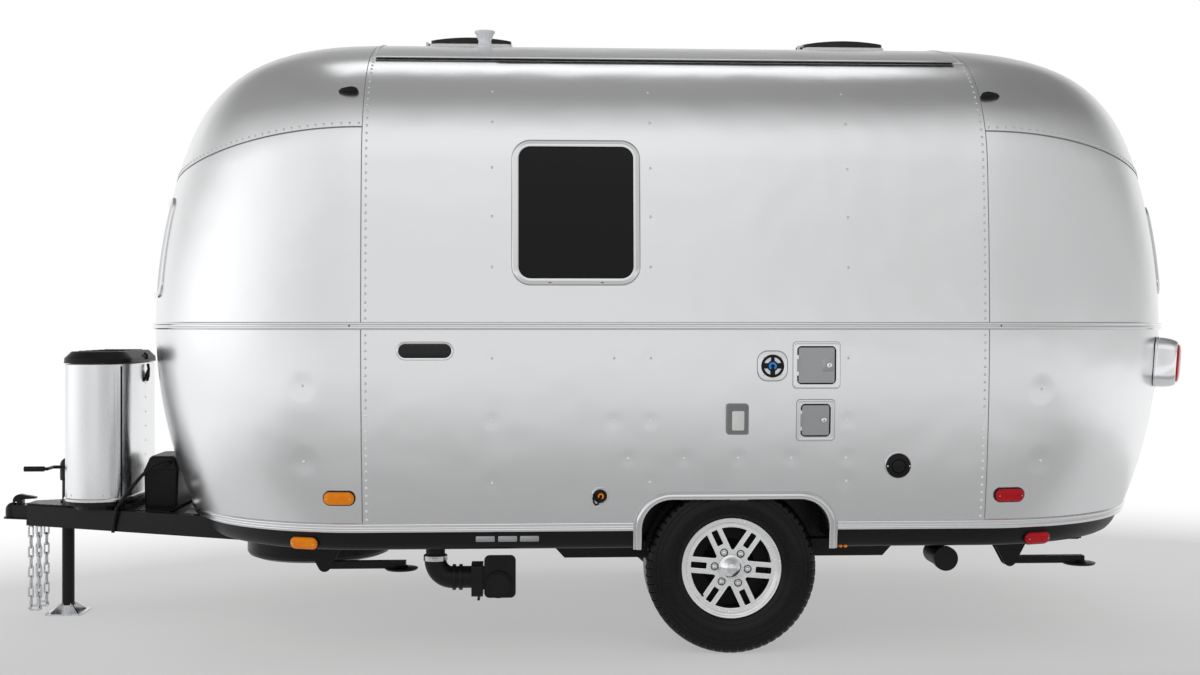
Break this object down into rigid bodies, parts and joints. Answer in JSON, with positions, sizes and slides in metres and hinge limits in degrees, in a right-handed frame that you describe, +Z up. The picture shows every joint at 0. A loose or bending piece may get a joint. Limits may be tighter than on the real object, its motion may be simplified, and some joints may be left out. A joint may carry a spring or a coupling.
{
  "type": "travel caravan",
  "caption": "Single-axle towed travel caravan with a riveted rounded aluminium shell, belt trim, hinged entry door, service hatches, roof vents, tongue jack and ball coupler.",
  "frame": {"origin": "on the ground under the middle of the whole length, on the centre line", "axes": "+X to the rear along the length, -Y the road side shown in the picture, +Z up"},
  "size_m": [5.537, 2.3354, 2.752],
  "materials": {
    "alu_skin": "polished",
    "alu_trim": "satin",
    "steel_cover": "brushed",
    "black_plastic": "matte",
    "smoke_plastic": "gloss",
    "white_plastic": "satin",
    "grey_plastic": "matte",
    "black_steel": "satin",
    "zinc": "satin",
    "bottle_paint": "gloss",
    "alloy": "machined",
    "tyre": "matte",
    "glass": "tinted",
    "amber": "gloss",
    "red": "gloss",
    "chrome": "polished",
    "ply": "plain"
  },
  "bodies": {
    "caravan": {"side_wall_left": "alu_skin", "side_wall_right": "alu_skin", "roof_panel": "alu_skin", "front_cap_lower": "alu_skin", "front_cap_dome": "alu_skin", "rear_cap_lower": "alu_skin", "rear_cap_dome": "alu_skin", "floor_deck": "ply", "belly_pan": "black_steel", "wheel_wells": "black_plastic", "skirt": "black_plastic", "belt_trim": "alu_trim", "rub_rail": "alu_trim", "arch_trims": "alu_trim", "awning_rails": "alu_trim", "window_frames": "alu_trim", "window_glass": "glass", "door_hinges": "alu_trim", "entry_step": "black_steel", "hatch_frames": "alu_trim", "side_inlets": "black_plastic", "vent_box": "grey_plastic", "lamps_amber": "amber", "lamps_red": "red", "clearance_lamps": "black_plastic", "tail_lamp_pods": "chrome", "vent_bases": "smoke_plastic", "roof_cap_vent": "white_plastic", "chassis_rails": "black_steel", "cross_members": "black_steel", "tongue_bars": "black_steel", "tongue_plates": "black_steel", "coupler": "black_steel", "jack": "black_steel", "safety_chains": "zinc", "gas_cover": "steel_cover", "gas_bottles": "bottle_paint", "battery_box": "black_plastic", "tow_cable": "black_plastic", "axle": "black_steel", "spare_wheel": "tyre", "drain_pipes": "black_plastic", "stabilizers": "black_steel"},
    "wheel_left": {"hub_left": "zinc", "rim_left": "alloy", "tyre_left": "tyre"},
    "wheel_right": {"hub_right": "zinc", "rim_right": "alloy", "tyre_right": "tyre"},
    "door": {"entry_door": "alu_skin", "door_trim": "alu_trim", "door_glass": "glass", "door_handle": "black_plastic"},
    "hatch_upper": {"hatch_door_upper": "alu_trim"},
    "hatch_lower": {"hatch_door_lower": "alu_trim"},
    "roof_lid_front": {"vent_lid_front": "smoke_plastic"},
    "roof_lid_rear": {"vent_lid_rear": "smoke_plastic"},
    "bottle_lid": {"gas_lid": "black_plastic"}
  },
  "joints": [
    {"name": "wheel_left_spin", "type": "hinge", "parent": "caravan", "child": "wheel_left", "pos_m": [0.5835, -0.9315, 0.359], "axis": [0, 1, 0], "continuous": true},
    {"name": "wheel_right_spin", "type": "hinge", "parent": "caravan", "child": "wheel_right", "pos_m": [0.5835, 0.9315, 0.359], "axis": [0, 1, 0], "continuous": true},
    {"name": "entry_door_hinge", "type": "hinge", "parent": "caravan", "child": "door", "pos_m": [-0.8055, 1.167, 1.29], "axis": [0, 0, 1], "range_deg": [0, 110]},
    {"name": "hatch_upper_hinge", "type": "hinge", "parent": "caravan", "child": "hatch_upper", "pos_m": [0.83975, -1.14772, 1.21177], "axis": [0, 0.0318, -0.9995], "range_deg": [0, 100]},
    {"name": "hatch_lower_hinge", "type": "hinge", "parent": "caravan", "child": "hatch_lower", "pos_m": [0.85625, -1.13542, 0.98444], "axis": [0, 0.0763, -0.9971], "range_deg": [0, 100]},
    {"name": "roof_lid_front_hinge", "type": "hinge", "parent": "caravan", "child": "roof_lid_front", "pos_m": [-0.7455, 0, 2.716], "axis": [0, -1, 0], "range_deg": [0, 55]},
    {"name": "roof_lid_rear_hinge", "type": "hinge", "parent": "caravan", "child": "roof_lid_rear", "pos_m": [1.0345, 0, 2.716], "axis": [0, -1, 0], "range_deg": [0, 55]},
    {"name": "bottle_lid_hinge", "type": "hinge", "parent": "caravan", "child": "bottle_lid", "pos_m": [-2.4255, 0, 1.203], "axis": [0, -1, 0], "range_deg": [0, 95]}
  ]
}
